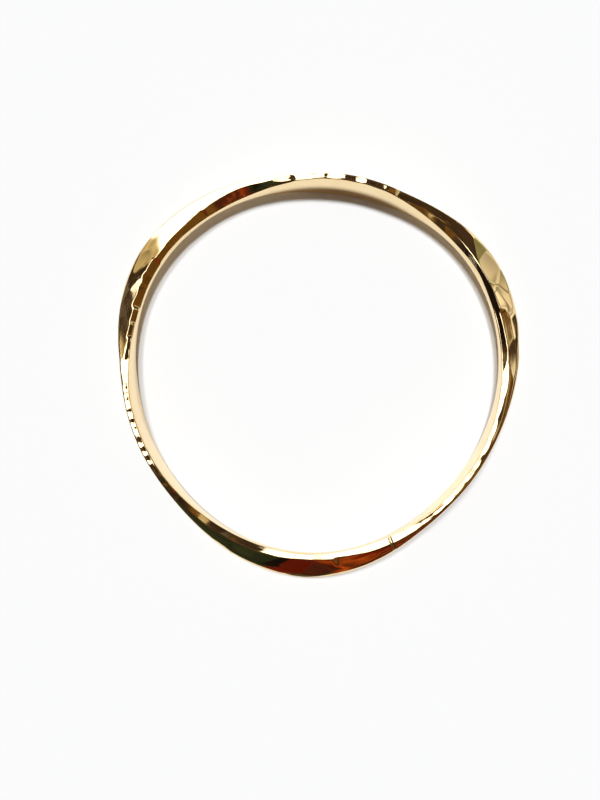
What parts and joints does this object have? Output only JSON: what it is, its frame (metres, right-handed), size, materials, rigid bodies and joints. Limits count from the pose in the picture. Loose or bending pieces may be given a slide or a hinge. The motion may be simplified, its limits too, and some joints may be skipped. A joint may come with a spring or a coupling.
{
  "type": "bangle bracelet",
  "caption": "Closed slip-on bangle forged from one polished bar, hammered flat into wide blades and on edge by turns round a circular bore, joined by a solder seam; worn on the wrist",
  "frame": {"origin": "on the axis of the bore, halfway up the ring; the bangle rests on the plane 3.2 mm below it", "axes": "+Z is the bore's axis, pointing up from the face it rests on; +X and +Y point to the right and the top of the picture"},
  "size_m": [0.0698, 0.07, 0.0064],
  "materials": {
    "polished_gold": "mirror-polished yellow gold over hammer facets",
    "gold_solder": "slightly paler gold solder, filed flush and polished"
  },
  "bodies": {
    "root": {"forged_bar": "polished_gold", "solder_seam": "gold_solder"}
  },
  "joints": []
}
